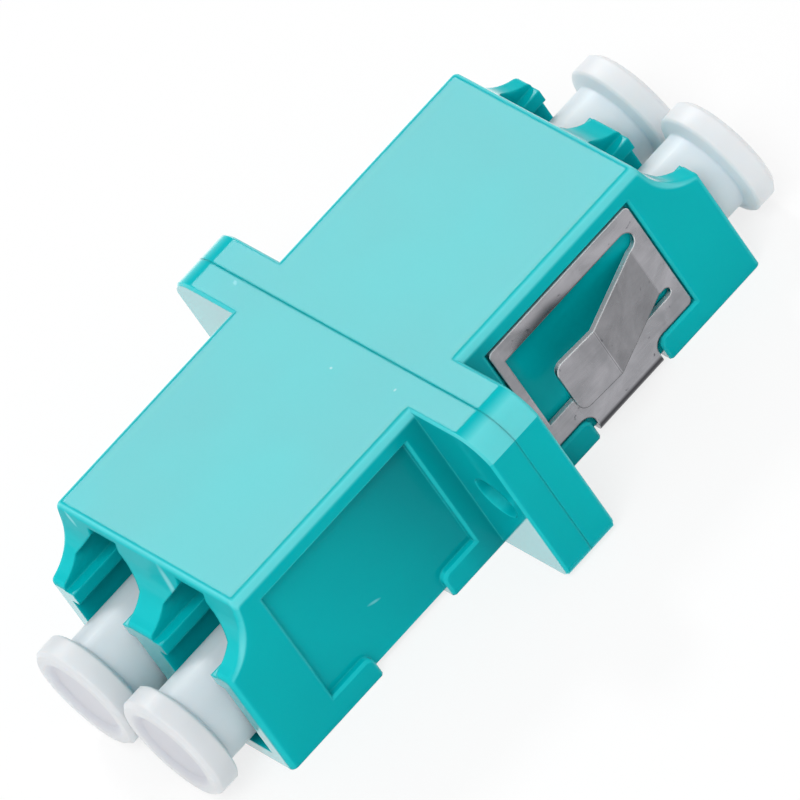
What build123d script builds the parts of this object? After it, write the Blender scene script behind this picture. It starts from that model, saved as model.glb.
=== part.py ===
from build123d import *
import os

# LC duplex fibre adapter with a screw flange, a panel clip and four dust caps.
# Two equal moulded halves are joined back to back at the middle of the flange.
# X runs along the fibres, Y across, Z up. The origin is the middle of the underside.
# All sizes are in millimetres.

# Body
body_width = 12.9
body_height = 9.2
top_length = 26.1
mouth_reach = 2.2
half_length = top_length / 2 + mouth_reach

# Finger scoop at each end, measured down and out from the end of the top plate
scoop_drop = 2.9
scoop_start_drop = 1.0
scoop_start_reach = 0.25

# Flange
flange_width = 22.3
flange_thickness = 3.1
half_flange = flange_thickness / 2
ear_corner_reach = 1.8
ear_corner_drop = 1.2
ear_foot_round = 0.6
ear_rim_bevel = 0.12
screw_edge = 2.05
screw_spacing = flange_width - 2 * screw_edge
screw_hole_diameter = 2.4

# Pins and sockets that line the two halves up
pin_diameter = 0.8
pin_length = 0.7
pin_clearance = 0.05
pin_inset = 0.85
pin_height_above_hole = 2.4

# Ports, one pair at each end
port_pitch = 6.25
port_width = 4.6
fibre_height = 3.05
plug_height = 4.6
ledge_thickness = 0.65
latch_slot_width = 3.55
top_wall = 0.85
channel_corner = 1.3
mouth_wall = 0.4
roof_lead = 1.6
septum = 1.2

# Split sleeve and the tube that holds it
sleeve_bore = 1.247
sleeve_outer = 1.62
sleeve_length = 6.4
sleeve_slit = 0.25
sleeve_clearance = 0.04
sleeve_end_clearance = 0.05
tube_wall = 0.65
tube_lip = 1.1
lip_bore = 1.45
tube_lead = 0.2

# Side pockets and the strap groove under the body
pocket_start = 2.6
pocket_end_wall = 1.2
pocket_length = top_length / 2 - pocket_start - pocket_end_wall
pocket_floor = 1.25
pocket_top = 8.15
pocket_depth = 0.4
strap_gap_start = 4.8
strap_gap_length = 4.6
lip_round = 0.45
pocket_rim_bevel = 0.12
groove_depth = 0.35

# Panel clip, bent from one strip
clip_thickness = 0.25
clip_play = 0.12
clip_side_play = 0.06
strap_width = 4.1
strap_root_round = 0.6
clip_top_bar = 0.95
clip_low_bar = 1.2
clip_near_bar = 0.5
clip_far_bar = 1.05
clip_corner = 0.25
tongue_width = 2.95
tongue_top = 6.05
tongue_rise = 1.7
tongue_ramp = 4.0
tongue_tip = 2.4
tongue_tip_turn = 0.15
tongue_corner = 0.5
slit_width = 0.5

# Dust caps
stem_diameter = 4.3
stem_wall = 0.85
stem_show = 1.5
stem_lead = 0.4
head_diameter = 5.7
head_thickness = 1.45
head_back_taper = 0.2
head_back_bevel = 0.1
head_rim_bevel = 0.2
head_dish_diameter = 4.4
head_dish_slope = 0.4
head_dish_depth = 0.2
cap_seat_clearance = 0.02

# Edge rounding
long_edge = 0.45
small_edge = 0.3
seam_break = 0.02

# Places worked out from the sizes above
half_width = body_width / 2
port_side = port_pitch / 2
plug_floor = fibre_height - plug_height / 2
ledge_bottom = plug_floor + plug_height
ledge_top = ledge_bottom + ledge_thickness
channel_top = body_height - top_wall
pocket_middle = pocket_start + pocket_length / 2
strap_middle = strap_gap_start + strap_gap_length / 2
tube_bore = sleeve_outer + 2 * sleeve_clearance
tube_outer = tube_bore + 2 * tube_wall
tube_end = sleeve_length / 2 + sleeve_end_clearance + tube_lip
screw_height = body_height / 2
pin_side = half_width + pin_inset
pin_height = screw_height + pin_height_above_hole

os.makedirs("parts", exist_ok=True)


# Half of the flange: flat top and underside, arcs that run off at the ears
with BuildPart() as flange:
    with BuildSketch(Plane.YZ) as flange_outline:
        with BuildLine():
            ear_side = flange_width / 2
            arc_start = ear_side - ear_corner_reach
            arc_end = body_height - ear_corner_drop
            foot_start = ear_side - ear_foot_round
            Line((-arc_start, body_height), (arc_start, body_height))
            TangentArc((arc_start, body_height), (ear_side, arc_end), tangent=(1, 0))
            Line((ear_side, arc_end), (ear_side, ear_foot_round))
            TangentArc((foot_start, 0), (ear_side, ear_foot_round), tangent=(1, 0))
            Line((foot_start, 0), (-foot_start, 0))
            TangentArc((-foot_start, 0), (-ear_side, ear_foot_round), tangent=(-1, 0))
            Line((-ear_side, ear_foot_round), (-ear_side, arc_end))
            TangentArc((-arc_start, body_height), (-ear_side, arc_end), tangent=(-1, 0))
        make_face()
    extrude(amount=half_flange)
    chamfer(flange.edges().filter_by_position(Axis.X, half_flange, half_flange), length=ear_rim_bevel)

# Housing half, drawn as the far one from the seam at X = 0 outwards
with BuildPart() as housing_far:
    # Side view of the body with the finger scoop over the mouths
    with BuildSketch(Plane.XZ):
        with BuildLine():
            tip = (half_length, body_height - scoop_drop)
            bend = (top_length / 2 + scoop_start_reach, body_height - scoop_start_drop)
            Polyline((top_length / 2, body_height), (0, body_height), (0, 0), (half_length, 0), tip)
            Line((top_length / 2, body_height), bend)
            TangentArc(bend, tip, tangent=(scoop_start_reach, -scoop_start_drop))
        make_face()
    extrude(amount=half_width, both=True)
    fillet(housing_far.edges().filter_by(Axis.X).group_by(Axis.Z)[-1], radius=long_edge)
    end_edges = housing_far.edges().filter_by(Axis.X, reverse=True).filter_by(Axis.Y, reverse=True)
    past_body = end_edges.filter_by_position(Axis.X, top_length / 2, half_length)
    scoop_tip = housing_far.edges().filter_by(Axis.Y).filter_by_position(Axis.X, half_length, half_length)
    scoop_tip = scoop_tip.group_by(Axis.Z)[-1]
    fillet(past_body.group_by(Axis.Y)[0] + past_body.group_by(Axis.Y)[-1] + scoop_tip, radius=small_edge)

    # The flange, and a small step along the parting edge so that the seam shows all round
    add(flange.part)
    with BuildSketch(Plane.YZ):
        add(flange_outline.sketch_local)
        offset(amount=-seam_break, mode=Mode.SUBTRACT)
    extrude(amount=seam_break, mode=Mode.SUBTRACT)

    # Pockets for the clip in both sides, open below between two lips
    for side in (-1, 1):
        with BuildSketch(Plane.XZ.offset(-side * half_width)) as pocket:
            with Locations((pocket_middle, (pocket_floor + pocket_top) / 2)):
                Rectangle(pocket_length, pocket_top - pocket_floor)
            with Locations((strap_middle, pocket_floor / 2)):
                Rectangle(strap_gap_length, pocket_floor)
            lip_ends = pocket.vertices().sort_by_distance((strap_middle, pocket_floor))[:2]
            fillet(lip_ends, radius=lip_round)
        extrude(amount=side * pocket_depth, mode=Mode.SUBTRACT)
        on_side = housing_far.edges().filter_by_position(Axis.Y, side * half_width, side * half_width)
        pocket_rim = on_side.filter_by_position(Axis.X, pocket_start, pocket_start + pocket_length)
        pocket_rim = pocket_rim.filter_by_position(Axis.Z, pocket_floor - lip_round, pocket_top)
        chamfer(pocket_rim, length=pocket_rim_bevel)

    # Groove for the strap across the underside
    with BuildSketch(Plane.XY):
        with Locations((strap_middle, 0)):
            Rectangle(strap_gap_length, body_width)
    extrude(amount=groove_depth, mode=Mode.SUBTRACT)

    # Ports: plug space, latch slot between two ledges, and the latch channel above
    for side in (-1, 1):
        with BuildSketch(Plane.YZ.offset(septum)):
            with Locations((side * port_side, (plug_floor + ledge_bottom) / 2)):
                Rectangle(port_width, plug_height)
            with Locations((side * port_side, (ledge_bottom + ledge_top) / 2)):
                Rectangle(latch_slot_width, ledge_thickness)
        extrude(amount=half_length, mode=Mode.SUBTRACT)
        with BuildSketch(Plane.YZ.offset(septum)) as channel:
            with Locations((side * port_side, (ledge_top + channel_top) / 2)):
                Rectangle(port_width, channel_top - ledge_top)
            chamfer(channel.vertices().group_by(Axis.Y)[-1], length=channel_corner)
        extrude(amount=half_length, mode=Mode.SUBTRACT)
        with BuildSketch(Plane.XZ.offset(-side * port_side)):
            with BuildLine():
                Polyline(
                    (top_length / 2 - roof_lead, channel_top),
                    (half_length, channel_top),
                    (half_length, body_height - mouth_wall),
                    (top_length / 2, body_height - mouth_wall),
                    close=True,
                )
            make_face()
        extrude(amount=port_width / 2 - channel_corner, both=True, mode=Mode.SUBTRACT)

    # Tubes that hold the split sleeves
    with BuildSketch(Plane.YZ.offset(septum)):
        with Locations((-port_side, fibre_height), (port_side, fibre_height)):
            Circle(tube_outer / 2)
    extrude(amount=tube_end - septum)
    with BuildSketch(Plane.YZ):
        with Locations((-port_side, fibre_height), (port_side, fibre_height)):
            Circle(tube_bore / 2)
    extrude(amount=tube_end - tube_lip, mode=Mode.SUBTRACT)
    with BuildSketch(Plane.YZ):
        with Locations((-port_side, fibre_height), (port_side, fibre_height)):
            Circle(lip_bore / 2)
    extrude(amount=tube_end, mode=Mode.SUBTRACT)
    tube_face = housing_far.edges().filter_by_position(Axis.X, tube_end, tube_end)
    tube_circles = tube_face.filter_by(GeomType.CIRCLE).filter_by_position(Axis.Z, fibre_height, fibre_height)
    chamfer(tube_circles.group_by(SortBy.RADIUS)[0], length=tube_lead)

    # Screw holes, one locating pin and its socket
    with BuildSketch(Plane.YZ):
        with Locations((-screw_spacing / 2, screw_height), (screw_spacing / 2, screw_height)):
            Circle(screw_hole_diameter / 2)
    extrude(amount=half_flange, mode=Mode.SUBTRACT)
    with BuildSketch(Plane.YZ):
        with Locations((-pin_side, pin_height)):
            Circle(pin_diameter / 2 + pin_clearance)
    extrude(amount=pin_length + pin_clearance, mode=Mode.SUBTRACT)

    # Locating pin that enters the other half
    with BuildSketch(Plane.YZ):
        with Locations((pin_side, pin_height)):
            Circle(pin_diameter / 2)
    extrude(amount=-pin_length)
housing_far.part.label = "housing_far"
export_step(housing_far.part, "parts/housing_far.step")

# The near half is the same moulding turned half a turn about the upright axis
with BuildPart() as housing_near:
    add(housing_far.part.rotate(Axis.Z, 180))
housing_near.part.label = "housing_near"
export_step(housing_near.part, "parts/housing_near.step")

# Split sleeves, one on each fibre line, slit at the top
for side_name, side in (("left", 1), ("right", -1)):
    with BuildPart() as split_sleeve:
        with BuildSketch(Plane.YZ.offset(-sleeve_length / 2)):
            with Locations((side * port_side, fibre_height)):
                Circle(sleeve_outer / 2)
                Circle(sleeve_bore / 2, mode=Mode.SUBTRACT)
            with Locations((side * port_side, fibre_height + sleeve_outer / 2)):
                Rectangle(sleeve_slit, sleeve_outer, mode=Mode.SUBTRACT)
        extrude(amount=sleeve_length)
    split_sleeve.part.label = f"split_sleeve_{side_name}"
    export_step(split_sleeve.part, f"parts/split_sleeve_{side_name}.step")

# Panel clip: the side tongue first, bent outwards and back in plan view
clip_face = half_width - pocket_depth + clip_side_play
clip_start = pocket_start + clip_play
clip_end = pocket_start + pocket_length - clip_play
clip_low = pocket_floor + clip_play
clip_high = pocket_top - clip_play
window_start = clip_start + clip_near_bar
window_end = clip_end - clip_far_bar
window_low = clip_low + clip_low_bar
window_high = clip_high - clip_top_bar
tongue_low = tongue_top - tongue_width
sheet_middle = -(clip_face + clip_thickness / 2)
with BuildPart() as tongue:
    with BuildSketch(Plane.XY.offset(tongue_low)):
        with BuildLine():
            FilletPolyline(
                (window_end + clip_far_bar / 2, sheet_middle),
                (window_end, sheet_middle),
                (window_end - tongue_ramp, sheet_middle - tongue_rise),
                (window_end - tongue_ramp - tongue_tip, sheet_middle - tongue_rise + tongue_tip_turn),
                radius=clip_thickness,
            )
        trace(line_width=clip_thickness)
    extrude(amount=tongue_width)
    tip_edges = tongue.faces().sort_by(Axis.X)[0].edges()
    fillet(tip_edges.group_by(SortBy.LENGTH)[0], radius=tongue_corner)

with BuildPart() as panel_clip:
    # Half of the U, in section: side sheet, bend, and half of the strap under the body
    strap_top = groove_depth - clip_side_play
    with BuildSketch(Plane.YZ.offset(clip_start)):
        with BuildLine():
            FilletPolyline(
                (sheet_middle, clip_high),
                (sheet_middle, strap_top - clip_thickness / 2),
                (0, strap_top - clip_thickness / 2),
                radius=clip_thickness,
            )
        trace(line_width=clip_thickness)
        with Locations((clip_thickness / 2, strap_top - clip_thickness / 2)):
            Rectangle(clip_thickness, clip_thickness, mode=Mode.SUBTRACT)
    extrude(amount=clip_end - clip_start)
    # Side view that trims it: frame above, narrow neck below
    with BuildSketch(Plane.XZ.offset(half_width)) as side_view:
        with Locations(((clip_start + clip_end) / 2, (clip_low + clip_high) / 2)):
            RectangleRounded(clip_end - clip_start, clip_high - clip_low, clip_corner)
        with Locations((strap_middle, clip_low / 2)):
            Rectangle(strap_width, clip_low)
        neck_corners = side_view.vertices().sort_by_distance((strap_middle, clip_low))[:2]
        fillet(neck_corners, radius=strap_root_round)
        with Locations(((window_start + window_end) / 2, (window_low + window_high) / 2)):
            Rectangle(window_end - window_start, window_high - window_low, mode=Mode.SUBTRACT)
        with Locations((window_end, (window_high + tongue_top) / 2)):
            SlotOverall(clip_far_bar, window_high - tongue_top, mode=Mode.SUBTRACT)
        with Locations((window_end, window_low + slit_width / 2)):
            SlotOverall(clip_far_bar, slit_width, mode=Mode.SUBTRACT)
    extrude(amount=-half_width, mode=Mode.INTERSECT)
    add(tongue.part)
    mirror(about=Plane.XZ)
panel_clip.part.label = "panel_clip"
export_step(panel_clip.part, "parts/panel_clip.step")

# Dust caps, turned shapes about the fibre lines: hollow stem, head with a dished face
cap_seat = tube_end + cap_seat_clearance
head_back = half_length + stem_show
head_face = head_back + head_thickness
stem_radius = stem_diameter / 2
head_radius = head_diameter / 2
dish_radius = head_dish_diameter / 2
stem_bore_radius = stem_radius - stem_wall
bore_floor = head_back - stem_wall
for end_name, end in (("near", -1), ("far", 1)):
    for side_name, side in (("left", 1), ("right", -1)):
        fibre_line = Plane(origin=(0, side * port_side, fibre_height), x_dir=(end, 0, 0), z_dir=(0, -end, 0))
        with BuildPart() as dust_cap:
            with BuildSketch(fibre_line):
                with BuildLine():
                    Polyline(
                        (cap_seat, stem_bore_radius),
                        (cap_seat, stem_radius - stem_lead / 2),
                        (cap_seat + stem_lead, stem_radius),
                        (head_back, stem_radius),
                        (head_back + head_back_taper, head_radius - head_back_bevel),
                        (head_back + head_back_taper + head_back_bevel, head_radius),
                        (head_face - head_rim_bevel, head_radius),
                        (head_face, head_radius - head_rim_bevel),
                        (head_face, dish_radius),
                        (head_face - head_dish_depth, dish_radius - head_dish_slope),
                        (head_face - head_dish_depth, 0),
                        (bore_floor, 0),
                        (bore_floor, stem_bore_radius),
                        (cap_seat, stem_bore_radius),
                    )
                make_face()
            revolve(axis=Axis((0, side * port_side, fibre_height), (1, 0, 0)))
        dust_cap.part.label = f"dust_cap_{end_name}_{side_name}"
        export_step(dust_cap.part, f"parts/dust_cap_{end_name}_{side_name}.step")
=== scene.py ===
# %% [markdown]
# # A duplex fibre adapter with its four dust caps
# The adapter is two moulded halves of aqua plastic, joined at the flange in the middle.
# A folded steel clip grips the far half and holds the adapter in its panel.
# Soft white caps keep dust out of the four ports.
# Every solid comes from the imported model, so this lesson is about lens, finishes and light.

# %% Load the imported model
import math

import bpy
import numpy as np
from mathutils import Matrix, Vector

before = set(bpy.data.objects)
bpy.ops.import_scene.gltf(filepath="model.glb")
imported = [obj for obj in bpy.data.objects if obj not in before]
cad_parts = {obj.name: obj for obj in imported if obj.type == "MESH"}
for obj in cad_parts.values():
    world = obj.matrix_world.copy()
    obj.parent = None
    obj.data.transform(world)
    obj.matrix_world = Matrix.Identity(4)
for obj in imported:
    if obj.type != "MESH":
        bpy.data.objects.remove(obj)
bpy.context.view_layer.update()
MM = 0.001
print("pieces in the model:", sorted(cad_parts))

# %% [markdown]
# ## The camera
# The picture was taken from far away with a long lens, so parallel edges stay nearly parallel.
# The camera's place was found by matching about twenty corners of the housing to the picture.
# It is kept as two angles, a roll, a distance and a lens, which can be read and changed one by one.

# %% Place the camera
camera_azimuth = -107.37
camera_elevation = 41.44
camera_roll = -35.66
camera_distance = 0.902
camera_lens = 937.9
camera_aim = Vector((0.968, 1.929, 2.412)) * MM
nearest_seen, farthest_seen = 0.05, 20


def direction(azimuth, elevation):
    """The unit vector (cos e cos a, cos e sin a, sin e), with a from +X and e from the floor, in degrees."""
    a, e = math.radians(azimuth), math.radians(elevation)
    return Vector((math.cos(e) * math.cos(a), math.cos(e) * math.sin(a), math.sin(e)))


def looking_from(azimuth, elevation, roll=0.0):
    """A rotation whose local Z points back to the viewer, turned by the roll about that line."""
    back = direction(azimuth, elevation)
    right = Vector((0, 0, 1)).cross(back).normalized()
    upright = Matrix((right, back.cross(right), back)).transposed()
    return upright @ Matrix.Rotation(math.radians(roll), 3, "Z")


camera_place = camera_aim + direction(camera_azimuth, camera_elevation) * camera_distance
camera_turn = looking_from(camera_azimuth, camera_elevation, camera_roll)
camera_data = bpy.data.cameras.new("long_lens")
camera_data.lens = camera_lens
camera_data.clip_start, camera_data.clip_end = nearest_seen, farthest_seen
camera = bpy.data.objects.new("camera", camera_data)
camera.matrix_world = Matrix.Translation(camera_place) @ camera_turn.to_4x4()
bpy.context.collection.objects.link(camera)
bpy.context.scene.camera = camera
print("camera stands at", [round(v, 3) for v in camera.matrix_world.translation], "m")

# %% [markdown]
# ## Helpers: nodes, groups and materials
# A finish is a small network of nodes. Five helpers keep each network short to write: one fills the
# inputs of a node, one adds a node, one opens a group with named sockets, one places a finished
# group, and one starts a material with its Principled shader.


# %% Helpers for nodes, groups and materials
def fill(tree, node, **values):
    """Sets or links a node's inputs, by name (_ stands for a space) or by number (i0, i1 and so on)."""
    for key, value in values.items():
        numbered = key[0] == "i" and key[1:].isdigit()
        socket = node.inputs[int(key[1:]) if numbered else key.replace("_", " ")]
        if isinstance(value, bpy.types.NodeSocket):
            tree.links.new(value, socket)
        else:
            socket.default_value = value


def add(tree, kind, settings=None, **values):
    """Adds a node, sets its properties and fills its inputs."""
    node = tree.nodes.new(kind)
    for key, value in (settings or {}).items():
        setattr(node, key, value)
    fill(tree, node, **values)
    return node


def open_group(name, inputs, outputs):
    """Makes a node group with named inputs (kind and default) and outputs. Returns it with its two ends."""
    group = bpy.data.node_groups.new(name, "ShaderNodeTree")
    for label, (kind, value) in inputs.items():
        socket = group.interface.new_socket(label, in_out="INPUT", socket_type=kind)
        socket.default_value = value
    for label, kind in outputs.items():
        group.interface.new_socket(label, in_out="OUTPUT", socket_type=kind)
    return group, group.nodes.new("NodeGroupInput").outputs, group.nodes.new("NodeGroupOutput")


def use(tree, group, **values):
    """Places a finished group in a tree with its own values, and returns its outputs."""
    node = tree.nodes.new("ShaderNodeGroup")
    node.node_tree = group
    fill(tree, node, **values)
    return node.outputs


def start_material(name):
    """A material with one Principled shader on its output. Returns the material, its tree and the shader."""
    material = bpy.data.materials.new(name)
    material.use_nodes = True
    tree = material.node_tree
    tree.nodes.clear()
    shader = tree.nodes.new("ShaderNodeBsdfPrincipled")
    add(tree, "ShaderNodeOutputMaterial", Surface=shader.outputs["BSDF"])
    return material, tree, shader


FLOAT, VECTOR = "NodeSocketFloat", "NodeSocketVector"
print("helpers for nodes, groups and materials ready")

# %% [markdown]
# ## Helpers: the steps inside a network
# The same few steps come back in every finish: arithmetic, a fade between two values, a blend of two
# colours, a noise. Each gets a name here, so that a network reads like the sentence that explains it.


# %% Helpers for the steps inside a network
def calc(tree, operation, *numbers):
    """One step of arithmetic on up to three numbers."""
    inputs = {f"i{place}": number for place, number in enumerate(numbers)}
    return add(tree, "ShaderNodeMath", {"operation": operation}, **inputs).outputs[0]


def fade(tree, value, start, full, low=0.0, high=1.0):
    """Goes evenly from low, where the value is at start, to high, where it is at full, and stays there."""
    return add(tree, "ShaderNodeMapRange", Value=value, From_Min=start, From_Max=full, To_Min=low,
               To_Max=high).outputs[0]


def blend(tree, share, first, second, way="MIX"):
    """The first colour where the share is 0, and the second, or the two multiplied, where it is 1."""
    node = add(tree, "ShaderNodeMix", {"data_type": "RGBA", "blend_type": way}, i0=share, i6=first, i7=second)
    return node.outputs[2]


def scaled(tree, colour, factor):
    """A colour or a vector times one number."""
    return add(tree, "ShaderNodeVectorMath", {"operation": "SCALE"}, i0=colour, Scale=factor).outputs[0]


def parts_of(tree, vector):
    """The x, y and z of a vector."""
    return tuple(add(tree, "ShaderNodeSeparateXYZ", i0=vector).outputs)


def millimetres(tree):
    """Object coordinates turned from metres into millimetres, so that pattern sizes read like a drawing."""
    return scaled(tree, tree.nodes.new("ShaderNodeTexCoord").outputs["Object"], 1000)


def noise(tree, place, scale, detail, roughness, distortion=0.0):
    """Smooth noise between 0 and 1, with so many grains to the millimetre."""
    return add(tree, "ShaderNodeTexNoise", Vector=place, Scale=scale, Detail=detail, Roughness=roughness,
               Distortion=distortion).outputs[0]


def raised(tree, pattern, depth, normal):
    """The normal of a surface whose height is the pattern times a depth in millimetres."""
    height = calc(tree, "MULTIPLY", pattern, depth)
    return add(tree, "ShaderNodeBump", Strength=1.0, Distance=MM, Height=height, Normal=normal).outputs[0]


print("helpers for arithmetic, fades, blends and noise ready")

# %% [markdown]
# ## Effect: moulded skin
# Plastic copies the steel of its mould: a very fine grain, and wide soft clouds where the melt cooled
# at different speeds. Two noises give both. The fine one becomes a bump a few thousandths of a
# millimetre deep, and the wide one comes out as a value that a material may use for colour or gloss.

# %% Build the moulded skin group
cloud_low, cloud_high = 0.2, 0.8

skin_group, skin_in, skin_out = open_group(
    "moulded_skin",
    {"Grain per mm": (FLOAT, 5.0), "Grain depth": (FLOAT, 0.004), "Cloud per mm": (FLOAT, 0.2),
     "Normal": (VECTOR, (0, 0, 0))},
    {"Cloud": FLOAT, "Normal": VECTOR},
)
place = millimetres(skin_group)
grain = noise(skin_group, place, skin_in["Grain per mm"], detail=3.0, roughness=0.55)
cloud = noise(skin_group, place, skin_in["Cloud per mm"], detail=2.0, roughness=0.5)
spread = add(skin_group, "ShaderNodeMapRange", {"interpolation_type": "SMOOTHSTEP"}, Value=cloud,
             From_Min=cloud_low, From_Max=cloud_high).outputs[0]
bumpy = raised(skin_group, grain, skin_in["Grain depth"], skin_in["Normal"])
fill(skin_group, skin_out, Cloud=spread, Normal=bumpy)
print("moulded_skin:", len(skin_group.nodes), "nodes")

# %% [markdown]
# ## Effect: soft edges
# No moulded or stamped edge is truly sharp. The Bevel node rounds the normal near an edge, as a very
# small radius would. The cosine of the angle between that normal and the true one is 1 on a flat face
# and less near an edge, so it makes a mask of the edges.
# The modelled roundings are found in another way: their normal leans between the main axes, so its
# largest part is well below one. The group also tells how far the surface looks up and sideways.

# %% Build the soft edge group
edge_start, edge_full = 0.995, 0.85
lean_start, lean_full = 0.995, 0.9
bevel_samples = 6

edge_group, edge_in, edge_out = open_group(
    "soft_edge",
    {"Reach": (FLOAT, 0.1)},
    {"Edge": FLOAT, "Rounding": FLOAT, "Upward": FLOAT, "Sideways": FLOAT, "Normal": VECTOR},
)
reach = calc(edge_group, "MULTIPLY", edge_in["Reach"], MM)
rounded = add(edge_group, "ShaderNodeBevel", {"samples": bevel_samples}, Radius=reach).outputs[0]
geometry = edge_group.nodes.new("ShaderNodeNewGeometry").outputs
likeness = add(edge_group, "ShaderNodeVectorMath", {"operation": "DOT_PRODUCT"}, i0=rounded,
               i1=geometry["True Normal"]).outputs["Value"]
upward = parts_of(edge_group, geometry["Normal"])[2]
parts = add(edge_group, "ShaderNodeVectorMath", {"operation": "ABSOLUTE"}, i0=geometry["Normal"]).outputs[0]
endways, sideways, upright = parts_of(edge_group, parts)
largest = calc(edge_group, "MAXIMUM", calc(edge_group, "MAXIMUM", endways, sideways), upright)
fill(edge_group, edge_out, Edge=fade(edge_group, likeness, edge_start, edge_full),
     Rounding=fade(edge_group, largest, lean_start, lean_full),
     Upward=upward, Sideways=sideways, Normal=rounded)
print("soft_edge:", len(edge_group.nodes), "nodes")

# %% [markdown]
# ## Effect: a small mark
# A handled part has a few small marks: a speck in a pocket, a short scratch by the flange. The same soft
# shape also carries painted reflections.
# Each is a soft ellipsoid: the distance from its middle, measured in its own three radii.
# The mark is full at its core, and has faded out where that distance is one.

# %% Build the mark group
mark_rim, mark_core = 1.0, 0.4

mark_group, mark_in, mark_out = open_group(
    "small_mark_and_reflection",
    {"Place": (VECTOR, (0, 0, 0)), "Turn": (VECTOR, (0, 0, 0)), "Radii": (VECTOR, (1, 1, 1))},
    {"Mark": FLOAT},
)
offset = add(mark_group, "ShaderNodeVectorMath", {"operation": "SUBTRACT"}, i0=millimetres(mark_group),
             i1=mark_in["Place"]).outputs[0]
turned = add(mark_group, "ShaderNodeVectorRotate", {"rotation_type": "EULER_XYZ"}, Vector=offset,
             Rotation=mark_in["Turn"]).outputs[0]
in_radii = add(mark_group, "ShaderNodeVectorMath", {"operation": "DIVIDE"}, i0=turned,
               i1=mark_in["Radii"]).outputs[0]
far = add(mark_group, "ShaderNodeVectorMath", {"operation": "LENGTH"}, i0=in_radii).outputs["Value"]
fill(mark_group, mark_out, Mark=fade(mark_group, far, mark_rim, mark_core))
print("small_mark_and_reflection:", len(mark_group.nodes), "nodes")

# %% [markdown]
# ## Effect: drawn lines
# Rolled or ground material carries fine parallel lines. Noise that is stretched many times along one
# direction looks like them, and costs nothing next to thousands of drawn strokes.

# %% Build the drawn line group
line_low, line_high = 0.35, 0.65

line_group, line_in, line_out = open_group(
    "drawn_lines",
    {"Stretch": (VECTOR, (1, 20, 20)), "Depth": (FLOAT, 0.002), "Normal": (VECTOR, (0, 0, 0))},
    {"Line": FLOAT, "Normal": VECTOR},
)
stretched = add(line_group, "ShaderNodeVectorMath", {"operation": "MULTIPLY"}, i0=millimetres(line_group),
                i1=line_in["Stretch"]).outputs[0]
line = noise(line_group, stretched, scale=1.0, detail=4.0, roughness=0.6)
fill(line_group, line_out, Line=fade(line_group, line, line_low, line_high),
     Normal=raised(line_group, line, line_in["Depth"], line_in["Normal"]))
print("drawn_lines:", len(line_group.nodes), "nodes")

# %% [markdown]
# ## Housing plastic: the aqua itself
# The housing is a glossy, strongly coloured plastic, and its colour isn't quite even. The finish is
# built in layers, each over the one before. The first one mixes two close tones by the soft clouds.

# %% Start the housing plastic
aqua_deep = (0.0, 0.42, 0.46, 1)
aqua_light = (0.0, 0.47, 0.505, 1)

housing_plastic, tree, shader = start_material("aqua_housing_plastic")
edges = use(tree, edge_group, Reach=0.14)
skin = use(tree, skin_group, Grain_per_mm=4.0, Grain_depth=0.0012, Cloud_per_mm=0.12,
           Normal=edges["Normal"])
colour = blend(tree, skin["Cloud"], aqua_deep, aqua_light)
x, y, z = parts_of(tree, millimetres(tree))
print("aqua goes from", aqua_deep[:3], "to", aqua_light[:3])

# %% [markdown]
# ## Housing plastic: painted shade on side faces
# The floor of a bare side pocket gets painted shade, darker than the walls, most of all high up towards
# the flange, and so does the wall beside the flange, where the corner would be shaded. Both are flat faces
# at a known distance from the middle plane, so comparing y with that distance picks them out. The Sideways
# value keeps the painted shade off the faces that only cross the distance. The far half's pockets hold the
# clip and stay as they are.

# %% Paint shade on the pocket floors and the walls by the flange
pocket_y, wall_y, plane_reach = 6.05, 6.45, 0.12
pocket_rise, pocket_open, pocket_close, pocket_painted_shade = 0.7, -7.8, 2.2, 0.62
wall_open, wall_close, wall_painted_shade = 3.6, 1.7, 0.68


def side_face(face_y):
    """1 on the flat side faces at this distance from the middle plane, and 0 elsewhere."""
    across = calc(tree, "ABSOLUTE", y)
    return calc(tree, "MULTIPLY", calc(tree, "COMPARE", across, face_y, plane_reach), edges["Sideways"])


def with_painted_shade(colour, where, value, start, full, deep):
    """Painted shade: the colour times a tone that falls from 1 to deep as the value goes from start to full.
    """
    tone = fade(tree, value, start, full, 1.0, deep)
    return blend(tree, where, colour, scaled(tree, colour, tone))


bare_floor = calc(tree, "MULTIPLY", side_face(pocket_y), calc(tree, "LESS_THAN", x, 0.0))
up_to_flange = calc(tree, "MULTIPLY_ADD", z, pocket_rise, x)
from_flange = calc(tree, "ABSOLUTE", x)
# Painted shade on the pocket floors and on the walls beside the flange.
colour = with_painted_shade(colour, bare_floor, up_to_flange, pocket_open, pocket_close, pocket_painted_shade)
colour = with_painted_shade(colour, side_face(wall_y), from_flange, wall_open, wall_close, wall_painted_shade)
print("pocket floors go down to", pocket_painted_shade, "and the walls by the flange to", wall_painted_shade)

# %% [markdown]
# ## Housing plastic: painted highlights on edges
# Edges are painted paler than the faces: a painted highlight for the light that a thin rounded edge
# gathers from many sides. Where a rounding near the top looks up to the bright room, a painted sheen makes
# it paler still. That painted sheen needs three things at once: a rounding, a direction that is up or partly
# sideways, and a place high on the part.

# %% Paint the highlights and the sheen on the edges
aqua_edge_highlight = (0.02, 0.58, 0.61, 1)
aqua_painted_sheen = (0.13, 0.65, 0.68, 1)
edge_highlight_share = 0.6
sheen_start, sheen_full, side_share = 0.5, 0.9, 0.6
sheen_low, sheen_high, side_lift = 7.2, 7.8, 1.4

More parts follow.
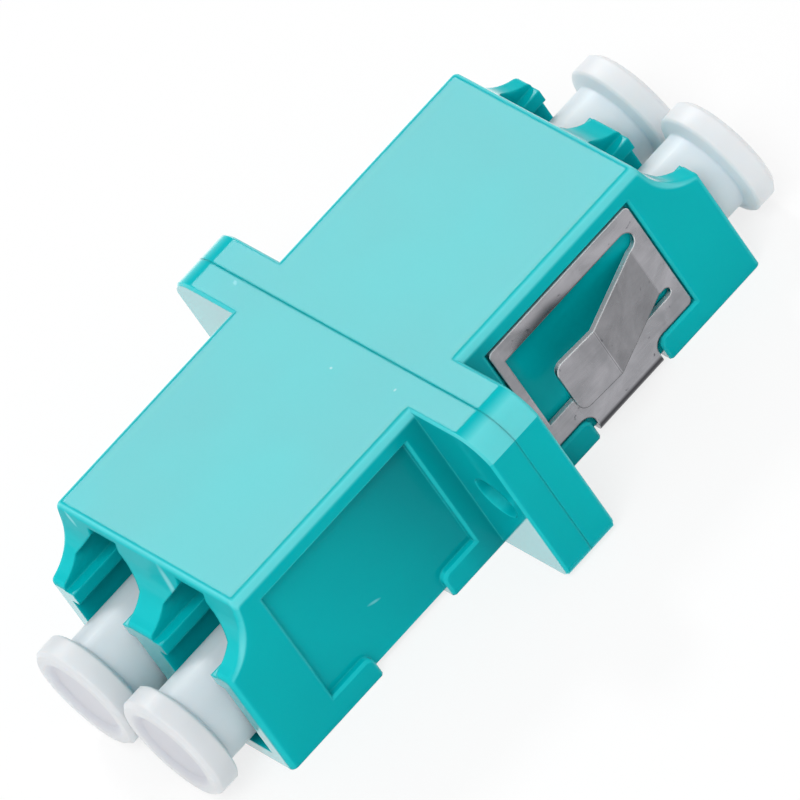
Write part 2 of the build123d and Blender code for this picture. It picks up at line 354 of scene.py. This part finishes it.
# Painted highlights on the edges, and a painted sheen on the top roundings.
edge_highlight = calc(tree, "MULTIPLY", calc(tree, "MAXIMUM", edges["Edge"], edges["Rounding"]), edge_highlight_share)
colour = blend(tree, edge_highlight, colour, aqua_edge_highlight)
open_sky = calc(tree, "MULTIPLY_ADD", edges["Sideways"], side_share, edges["Upward"])
sheen = calc(tree, "MULTIPLY", fade(tree, open_sky, sheen_start, sheen_full), edges["Rounding"])
height = calc(tree, "MULTIPLY_ADD", edges["Sideways"], side_lift, z)
sheen = calc(tree, "MULTIPLY", sheen, fade(tree, height, sheen_low, sheen_high))
colour = blend(tree, sheen, colour, aqua_painted_sheen)
print("top edges turn pale from", sheen_low, "to", sheen_high, "mm")

# %% [markdown]
# ## Housing plastic: small marks and painted reflections
# Each mark has a middle in millimetres, a turn in radians, three radii and a strength.
# The two strips are painted reflections beside the near ports, and the rest are signs of use.

# %% Lay the marks and the painted reflections on the housing
aqua_rub_and_reflection = (0.22, 0.68, 0.72, 1)
rubs_and_reflections = {
    "speck in the near pocket": ((-7.77, -6.05, 2.91), (0, 1.24, 0), (0.09, 0.3, 0.42), 0.6),
    "speck on the flange": ((-0.31, 7.37, 9.2), (0, 0, 0.5), (0.12, 0.2, 0.2), 0.5),
    "dot on the near top": ((-1.58, -0.83, 9.2), (0, 0, 0), (0.08, 0.1, 0.2), 0.5),
    "dot by the seam": ((-1.04, -4.75, 9.2), (0, 0, 0), (0.1, 0.08, 0.2), 0.5),
    "dash on the right ear": ((0.0, -10.9, 9.0), (0, 0, 0.2), (0.09, 0.55, 0.4), 0.4),
    "painted reflection beside the right near port": ((-13.45, -1.35, 8.35), (0.535, 0, 0), (0.6, 0.3, 1.2), 1.0),
    "painted reflection beside the left near port": ((-13.2, 5.35, 8.75), (0.84, 0, 0), (0.4, 0.14, 0.5), 1.0),
}
# The two strips are painted reflections; the other marks are signs of use.
for middle, turn, radii, strength in rubs_and_reflections.values():
    mark = use(tree, mark_group, Place=middle, Turn=turn, Radii=radii)["Mark"]
    colour = blend(tree, calc(tree, "MULTIPLY", mark, strength), colour, aqua_rub_and_reflection)
print("marks on the housing:", ", ".join(rubs_and_reflections))

# %% [markdown]
# ## Housing plastic: gloss
# Seen square on, the plastic shows almost only its colour, and at a slant it mirrors the white room.
# So the plain shine is weak, and a clear coat grows with the slant, which the Layer Weight node
# measures. A little light travels inside the plastic, and softens the shadows in the ports.

# %% Finish the housing plastic
plain_roughness, cloudy_roughness = 0.12, 0.15
slant_start, slant_full = 0.65, 0.8
glow_share, glow_reach, glow_colour = 0.3, 0.8, (0.1, 1.0, 1.0)

facing = add(tree, "ShaderNodeLayerWeight", Blend=0.5).outputs["Facing"]
fill(tree, shader, Base_Color=colour, Normal=skin["Normal"],
     Roughness=fade(tree, skin["Cloud"], 0.0, 1.0, plain_roughness, cloudy_roughness),
     Coat_Weight=fade(tree, facing, slant_start, slant_full),
     Specular_IOR_Level=0.04, IOR=1.5, Coat_Roughness=0.08, Coat_IOR=1.6,
     Subsurface_Weight=glow_share, Subsurface_Radius=glow_colour, Subsurface_Scale=glow_reach * MM)
print("housing plastic has", len(tree.nodes), "nodes")

# %% [markdown]
# ## Cap plastic: the white, with painted light and shade
# The caps are soft, waxy plastic. Over the clouds of white and grey lie three slow changes of painted
# light and shade. The thin middle of the head, with the hollow stem behind it, is painted a little darker
# as shade: it is found by its distance from the port's axis. The thin stem gets a painted cyan tint of
# light from the aqua housing. The near pair is painted a little darker as shade, and the far pair a little
# lighter as painted light.

# %% Colour the caps and paint their light and shade
cap_white = (0.77, 0.785, 0.805, 1)
cap_grey = (0.74, 0.76, 0.785, 1)
cap_dish_shade = (0.66, 0.675, 0.73, 1)
cap_axis_y, cap_axis_z = 3.125, 3.05
dish_rim, dish_full, head_inside = 2.35, 1.95, 17.9
head_start, stem_end, stem_housing_light_tint = 17.1, 16.6, (0.95, 1.015, 1.04)
near_x, near_painted_shade, far_x, far_painted_light = -1.0, 0.89, 1.0, 1.03

cap_plastic, tree, shader = start_material("soft_white_cap_plastic")
edges = use(tree, edge_group, Reach=0.15)
skin = use(tree, skin_group, Grain_per_mm=2.5, Grain_depth=0.004, Cloud_per_mm=0.35,
           Normal=edges["Normal"])
colour = blend(tree, skin["Cloud"], cap_grey, cap_white)
x, y, z = parts_of(tree, millimetres(tree))
from_flange = calc(tree, "ABSOLUTE", x)

off_y = calc(tree, "SUBTRACT", calc(tree, "ABSOLUTE", y), cap_axis_y)
off_z = calc(tree, "SUBTRACT", z, cap_axis_z)
off_axis = add(tree, "ShaderNodeCombineXYZ", i0=off_y, i1=off_z, i2=0.0).outputs[0]
off_axis = add(tree, "ShaderNodeVectorMath", {"operation": "LENGTH"}, i0=off_axis).outputs["Value"]
outside = calc(tree, "GREATER_THAN", from_flange, head_inside)
# Painted shade in the middle of each head.
painted_dish_shade = calc(tree, "MULTIPLY", fade(tree, off_axis, dish_rim, dish_full), outside)
colour = blend(tree, painted_dish_shade, colour, cap_dish_shade)

# A painted cyan tint of the housing's light on the stems.
housing_light_tinted = add(tree, "ShaderNodeVectorMath", {"operation": "MULTIPLY"}, i0=colour, i1=stem_housing_light_tint).outputs[0]
colour = blend(tree, fade(tree, from_flange, head_start, stem_end), colour, housing_light_tinted)
# Painted shade on the near pair, painted light on the far pair.
colour = scaled(tree, colour, fade(tree, x, near_x, far_x, near_painted_shade, far_painted_light))
print("near caps are toned", near_painted_shade, "and far caps", far_painted_light)

# %% [markdown]
# ## Cap plastic: the soft glow
# Light goes into the waxy plastic and comes out a millimetre further on. Subsurface scattering does
# that, with blue reaching a little further than red. The gloss is low, and uneven with the clouds.

# %% Finish the cap plastic
plain_roughness, cloudy_roughness = 0.38, 0.5
glow_share, glow_reach, glow_colour = 0.7, 1.2, (0.8, 1.0, 1.1)

fill(tree, shader, Base_Color=colour, Normal=skin["Normal"],
     Roughness=fade(tree, skin["Cloud"], 0.0, 1.0, plain_roughness, cloudy_roughness), IOR=1.5,
     Subsurface_Weight=glow_share, Subsurface_Radius=glow_colour, Subsurface_Scale=glow_reach * MM)
print("cap plastic has", len(tree.nodes), "nodes")

# %% [markdown]
# ## Spring steel: stains, lines and painted light on the bends
# The clip is stamped from thin rolled strip. Rolling leaves faint lines along the strip, and handling
# leaves clouds of lighter and darker grey. Where the strip is bent, light and shade are painted by the
# surface's lean: a painted dark crease, a painted bright line, and a ramp darkened by painted shade. The
# lean is read from the normal's x, which is 0 on the frame and about 0.4 on the tongue's ramp: each pair in
# the table of painted tones is such a lean and its tone. A colour ramp's colours stop at one, so it holds
# half of each tone, and a doubling follows.

# %% Colour the strip
steel_dark = (0.22, 0.22, 0.235, 1)
steel_light = (0.31, 0.305, 0.325, 1)
steel_lines_and_highlight = (0.95, 0.96, 0.98, 1)
steel_pit = (0.04, 0.04, 0.05, 1)
stain_low, stain_high, line_share = 0.35, 0.65, 0.03
pit_start, pit_full, pit_share = 0.7, 0.78, 0.7
painted_light_by_lean = ((0.0, 1.0), (0.05, 1.0), (0.13, 0.5), (0.22, 1.25), (0.33, 0.68), (0.45, 0.68), (0.6, 1.0))

clip_steel, tree, shader = start_material("rolled_spring_steel")
edges = use(tree, edge_group, Reach=0.11)
lines = use(tree, line_group, Stretch=(0.5, 7.0, 7.0), Depth=0.0002, Normal=edges["Normal"])
place = millimetres(tree)
stain = noise(tree, place, scale=0.55, detail=3.0, roughness=0.5, distortion=0.6)
stain = fade(tree, stain, stain_low, stain_high)
colour = blend(tree, stain, steel_dark, steel_light)
colour = blend(tree, calc(tree, "MULTIPLY", lines["Line"], line_share), colour, steel_lines_and_highlight)

true_normal = tree.nodes.new("ShaderNodeNewGeometry").outputs["Normal"]
# Painted light and shade, set by the lean of the surface at the bends.
lean = calc(tree, "ABSOLUTE", parts_of(tree, true_normal)[0])
painted_bend_light = add(tree, "ShaderNodeValToRGB", i0=lean)
stops = painted_bend_light.color_ramp.elements
for position, tone in painted_light_by_lean[1:-1]:
    stops.new(position)
for stop, (position, tone) in zip(stops, painted_light_by_lean):
    stop.position, stop.color = position, (tone / 2, tone / 2, tone / 2, 1)
colour = blend(tree, 1.0, colour, scaled(tree, painted_bend_light.outputs[0], 2.0), way="MULTIPLY")

pit = noise(tree, place, scale=2.6, detail=2.0, roughness=0.5)
colour = blend(tree, fade(tree, pit, pit_start, pit_full, 0.0, pit_share), colour, steel_pit)
print("the strip's tone changes at", len(painted_light_by_lean), "leans of its surface")

# %% [markdown]
# ## Spring steel: cut edges with painted highlights and painted shade
# A cut edge is a rough break that scatters light. The edges that look up get a painted highlight of the
# room's light: they are painted bright, and don't mirror as metal does. The edges and bends that look down,
# and the fold under the body, get painted shade and are nearly black.

# %% Paint the highlights and the shade on the edges, and finish the steel
steel_painted_shade = (0.05, 0.05, 0.055, 1)
under_start, under_full = -0.1, -0.5
fold_high, fold_low = 0.62, 0.45
level_start, level_full = -0.1, 0.1
cut_start, cut_full, cut_share = 0.5, 0.9, 0.45
dark_roughness, light_roughness = 0.3, 0.22

# Painted highlight on edges that look up; painted shade on edges that look down and on the fold.
rounded_up = parts_of(tree, edges["Normal"])[2]
bright = calc(tree, "MULTIPLY", fade(tree, rounded_up, level_start, level_full), edges["Edge"])
shaded = calc(tree, "SUBTRACT", edges["Edge"], bright)
fold_painted_shade = fade(tree, parts_of(tree, place)[2], fold_high, fold_low)
fold_painted_shade = calc(tree, "MULTIPLY", fold_painted_shade, edges["Sideways"])
underside_painted_shade = calc(tree, "MAXIMUM", fade(tree, edges["Upward"], under_start, under_full), fold_painted_shade)
colour = blend(tree, calc(tree, "MAXIMUM", underside_painted_shade, shaded), colour, steel_painted_shade)

cut_edge_highlight = fade(tree, edges["Upward"], cut_start, cut_full, 0.0, cut_share)
cut_edge_highlight = calc(tree, "MAXIMUM", cut_edge_highlight, bright)
colour = blend(tree, cut_edge_highlight, colour, steel_lines_and_highlight)
fill(tree, shader, Base_Color=colour, Normal=lines["Normal"], Metallic=fade(tree, cut_edge_highlight, 0.0, 1.0, 1.0, 0.0),
     Roughness=fade(tree, stain, 0.0, 1.0, dark_roughness, light_roughness))
print("spring steel has", len(tree.nodes), "nodes")

# %% [markdown]
# ## Finish: white ceramic
# The split sleeves in the tubes are ground zirconia: dense, warm white and shiny, with the finest
# lines of the grinding wheel round them. They show when a cap is pulled.

# %% Make the sleeve ceramic
ceramic_white = (0.82, 0.81, 0.77, 1)
ceramic_line = (0.76, 0.75, 0.71, 1)
line_roughness, ground_roughness = 0.18, 0.1

sleeve_ceramic, tree, shader = start_material("ground_white_ceramic")
lines = use(tree, line_group, Stretch=(30.0, 1.0, 1.0), Depth=0.0006)
fill(tree, shader, Base_Color=blend(tree, lines["Line"], ceramic_line, ceramic_white), Normal=lines["Normal"],
     Roughness=fade(tree, lines["Line"], 0.0, 1.0, line_roughness, ground_roughness), IOR=2.1)
print("ceramic has", len(tree.nodes), "nodes")

# %% [markdown]
# ## Dress the pieces
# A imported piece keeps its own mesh. Only the material in its slot changes, chosen by the piece's name.

# %% Assign the finishes
finish_for = {
    "housing": housing_plastic,
    "dust_cap": cap_plastic,
    "panel_clip": clip_steel,
    "split_sleeve": sleeve_ceramic,
}
for name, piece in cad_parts.items():
    finish = next(finish_for[start] for start in finish_for if name.startswith(start))
    for slot in piece.material_slots:
        slot.material = finish
    print(name, "->", finish.name)

# %% [markdown]
# ## The floor
# The part lies on a plain white sheet. The sheet is a grid worked out with numpy: u and v run over a
# square, and the height is constant, just below zero.


# %% Make the floor sheet
def grid_object(name, points):
    """A mesh of four-sided faces between the neighbours of the grid points[row, column]."""
    rows, columns = points.shape[:2]
    index = np.arange(rows * columns).reshape(rows, columns)
    faces = np.stack([index[:-1, :-1], index[:-1, 1:], index[1:, 1:], index[1:, :-1]], -1).reshape(-1, 4)
    mesh = bpy.data.meshes.new(name)
    mesh.from_pydata(points.reshape(-1, 3).tolist(), [], faces.tolist())
    made = bpy.data.objects.new(name, mesh)
    bpy.context.collection.objects.link(made)
    return made


floor_size, floor_lines = 8.0, 9
floor_drop = 0.01 * MM
along_floor = np.linspace(-0.5, 0.5, floor_lines) * floor_size
u, v = np.meshgrid(along_floor, along_floor)
floor = grid_object("floor", np.stack([u, v, np.full_like(u, -floor_drop)], -1))
print("floor is", floor_size, "m wide")

# %% [markdown]
# ## The floor's white
# Part of what the camera and mirrors see of the sheet is its own white, and the rest is lit white.
# So it stays white there and still takes a soft shadow.

# %% Whiten the floor
floor_white = (0.9, 0.9, 0.9, 1)
own_share = 0.8
mirrored_light = 1.3

floor_sheet, tree, shader = start_material("white_floor")
fill(tree, shader, Base_Color=floor_white, Roughness=0.9, Specular_IOR_Level=0.0)
rays = tree.nodes.new("ShaderNodeLightPath").outputs
own_light = fade(tree, rays["Is Camera Ray"], 0.0, 1.0, mirrored_light, 1.0)
own = add(tree, "ShaderNodeEmission", Color=(1, 1, 1, 1), Strength=own_light).outputs[0]
seen = calc(tree, "MAXIMUM", rays["Is Camera Ray"], rays["Is Glossy Ray"])
seen = calc(tree, "MAXIMUM", seen, rays["Is Transmission Ray"])
share = calc(tree, "MULTIPLY", seen, own_share)
mixed = add(tree, "ShaderNodeMixShader", i0=share, i1=shader.outputs[0], i2=own).outputs[0]
fill(tree, next(node for node in tree.nodes if node.type == "OUTPUT_MATERIAL"), Surface=mixed)
floor.data.materials.append(floor_sheet)
print("the floor's own white makes up", own_share, "of what the camera sees")

# %% [markdown]
# ## Light: three soft panels
# A small, bright panel behind the part stands just where the flat top mirrors it, and gives the top its
# pale sheen. A wide one hangs high on the camera's side and shapes the faces, and a weak one lights the
# ports from the near end.
# A panel's power is worked out from the brightness it should have: power = brightness x pi x area.


# %% Hang the panels
def soft_panel(name, azimuth, elevation, distance, size, brightness):
    """A square area lamp at the given bearing from the part, facing it."""
    lamp = bpy.data.lights.new(name, "AREA")
    lamp.shape = "SQUARE"
    lamp.size = size
    lamp.energy = brightness * math.pi * size * size
    made = bpy.data.objects.new(name, lamp)
    stand = Matrix.Translation(direction(azimuth, elevation) * distance)
    made.matrix_world = stand @ looking_from(azimuth, elevation).to_4x4()
    bpy.context.collection.objects.link(made)
    print(name, "gives", round(lamp.energy, 2), "W")


soft_panel("back_panel", azimuth=72.6, elevation=41.4, distance=1.0, size=0.16, brightness=34.0)
soft_panel("high_panel", azimuth=-130, elevation=60, distance=0.8, size=0.42, brightness=6.0)
soft_panel("port_panel", azimuth=180, elevation=25, distance=1.0, size=0.4, brightness=1.0)

# %% [markdown]
# ## Light: a pale sky
# An even sky of half strength fills the shadows. Only the camera sees it at full white.

# %% Set the sky
sky_strength = 0.5
world = bpy.data.worlds.new("pale_sky")
bpy.context.scene.world = world
world.use_nodes = True
tree = world.node_tree
rays = tree.nodes.new("ShaderNodeLightPath").outputs
strength = fade(tree, rays["Is Camera Ray"], 0.0, 1.0, sky_strength, 1.0)
background = next(node for node in tree.nodes if node.type == "BACKGROUND")
fill(tree, background, Color=(1, 1, 1, 1), Strength=strength)
bpy.context.scene.view_settings.view_transform = "Standard"
print("sky strength", sky_strength)
